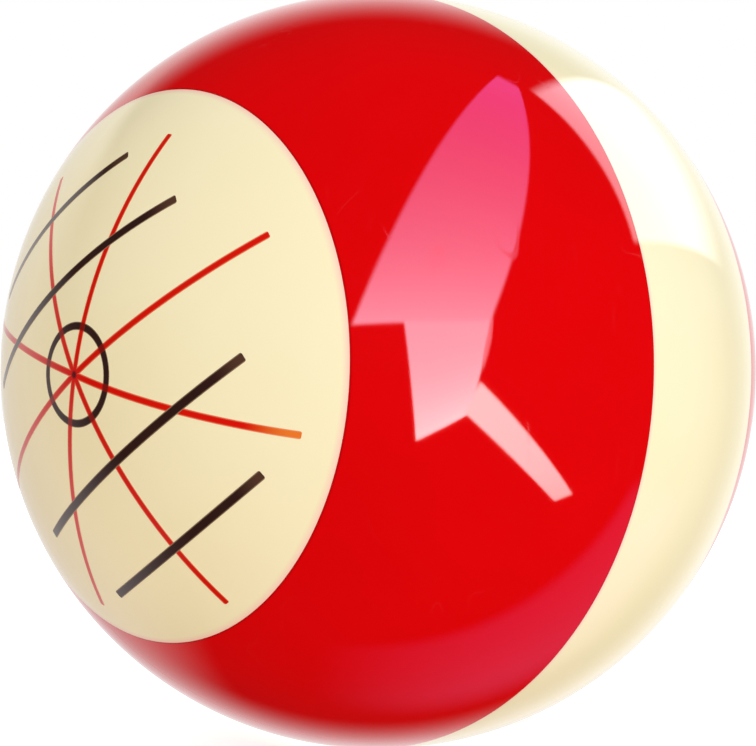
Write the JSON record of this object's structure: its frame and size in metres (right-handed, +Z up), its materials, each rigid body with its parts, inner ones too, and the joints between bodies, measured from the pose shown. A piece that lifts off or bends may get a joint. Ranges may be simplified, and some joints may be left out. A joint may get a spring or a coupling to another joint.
{
  "type": "practice cue ball",
  "caption": "Glossy cream billiard practice ball with two red zones and an inlaid aiming target of rays, a ring and parallel bars on each end cap.",
  "frame": {"origin": "centre of the ball", "axes": "+Z up; the layers are stacked along Y, with the front target facing -Y and the rear target facing +Y"},
  "size_m": [0.0572, 0.0572, 0.0572],
  "materials": {
    "cream_resin": "cast resin, polished to a high gloss",
    "red_resin": "cast resin, polished to a high gloss",
    "red_inlay": "pigmented resin inlay, polished flush",
    "black_inlay": "pigmented resin inlay, polished flush",
    "maroon_inlay": "pigmented resin inlay, polished flush"
  },
  "bodies": {
    "root": {"centre_belt": "cream_resin", "front_bar_1": "black_inlay", "front_bar_2": "black_inlay", "front_bar_3": "black_inlay", "front_bar_4": "black_inlay", "front_cap": "cream_resin", "front_centre_dot": "maroon_inlay", "front_ray_1": "red_inlay", "front_ray_2": "red_inlay", "front_ray_3": "red_inlay", "front_ray_4": "red_inlay", "front_ray_5": "red_inlay", "front_ray_6": "red_inlay", "front_ray_7": "red_inlay", "front_ray_8": "red_inlay", "front_red_zone": "red_resin", "front_ring": "black_inlay", "rear_bar_1": "black_inlay", "rear_bar_2": "black_inlay", "rear_bar_3": "black_inlay", "rear_bar_4": "black_inlay", "rear_cap": "cream_resin", "rear_centre_dot": "maroon_inlay", "rear_ray_1": "red_inlay", "rear_ray_2": "red_inlay", "rear_ray_3": "red_inlay", "rear_ray_4": "red_inlay", "rear_ray_5": "red_inlay", "rear_ray_6": "red_inlay", "rear_ray_7": "red_inlay", "rear_ray_8": "red_inlay", "rear_red_zone": "red_resin", "rear_ring": "black_inlay"}
  },
  "joints": []
}
